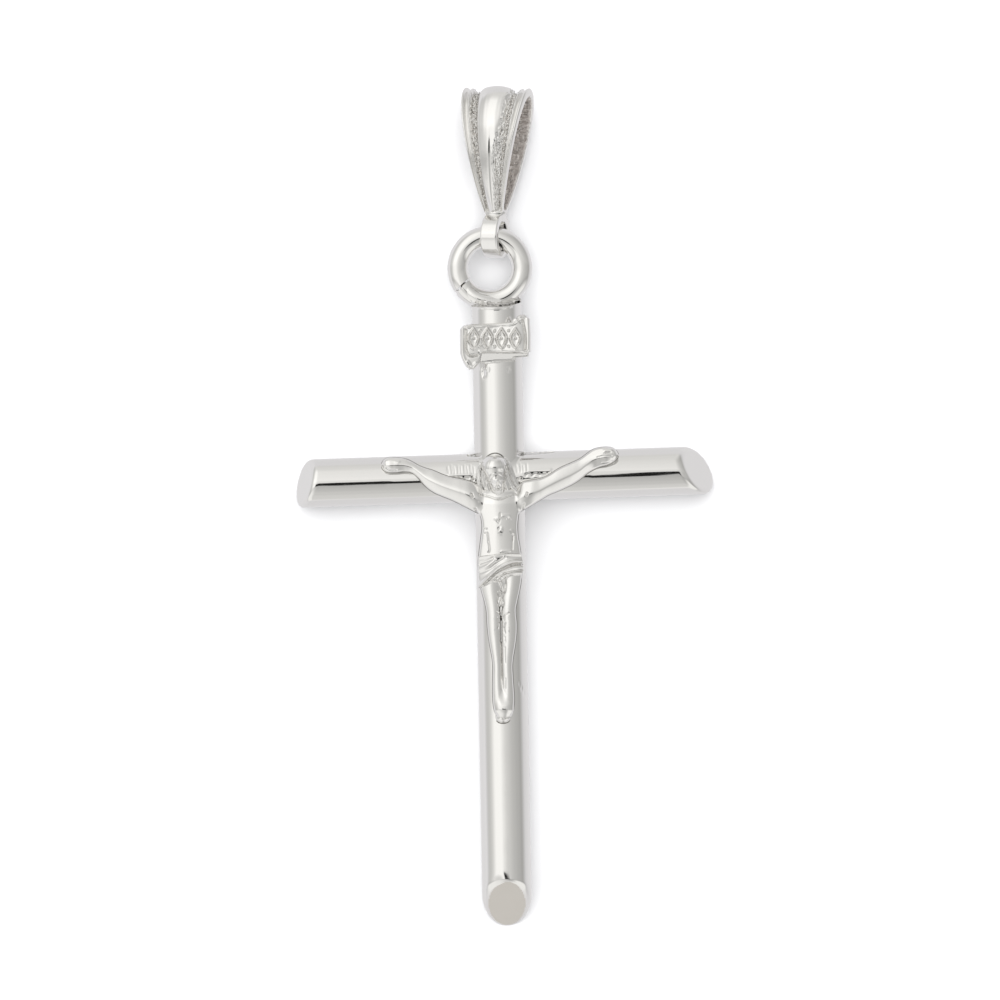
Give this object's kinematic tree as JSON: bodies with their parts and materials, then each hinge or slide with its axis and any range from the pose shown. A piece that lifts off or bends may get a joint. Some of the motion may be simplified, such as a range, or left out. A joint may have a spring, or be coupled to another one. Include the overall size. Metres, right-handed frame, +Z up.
{
  "type": "crucifix pendant with fluted bail",
  "caption": "Round-bar cross with slanted cut ends, a cast figure and curled scroll on its front, and a split ring that holds a fluted teardrop bail; it lies on its back.",
  "frame": {"origin": "on the surface that the pendant lies on, under the middle of its bounding box", "axes": "+Z up out of the front, +Y along the upright towards the bail, +X to the right as one looks at the front"},
  "size_m": [0.0281, 0.056, 0.005],
  "materials": {
    "polished_bars": "rhodium-plated bars, mirror polished, with satin cut ends",
    "cast_figure": "rhodium-plated casting, tumble polished",
    "cast_scroll": "rhodium-plated casting, tumble polished",
    "cast_bail": "rhodium-plated casting, polished outside and rough as cast inside"
  },
  "bodies": {
    "root": {"cross": "polished_bars", "corpus": "cast_figure", "title_scroll": "cast_scroll", "bail": "cast_bail"}
  },
  "joints": []
}
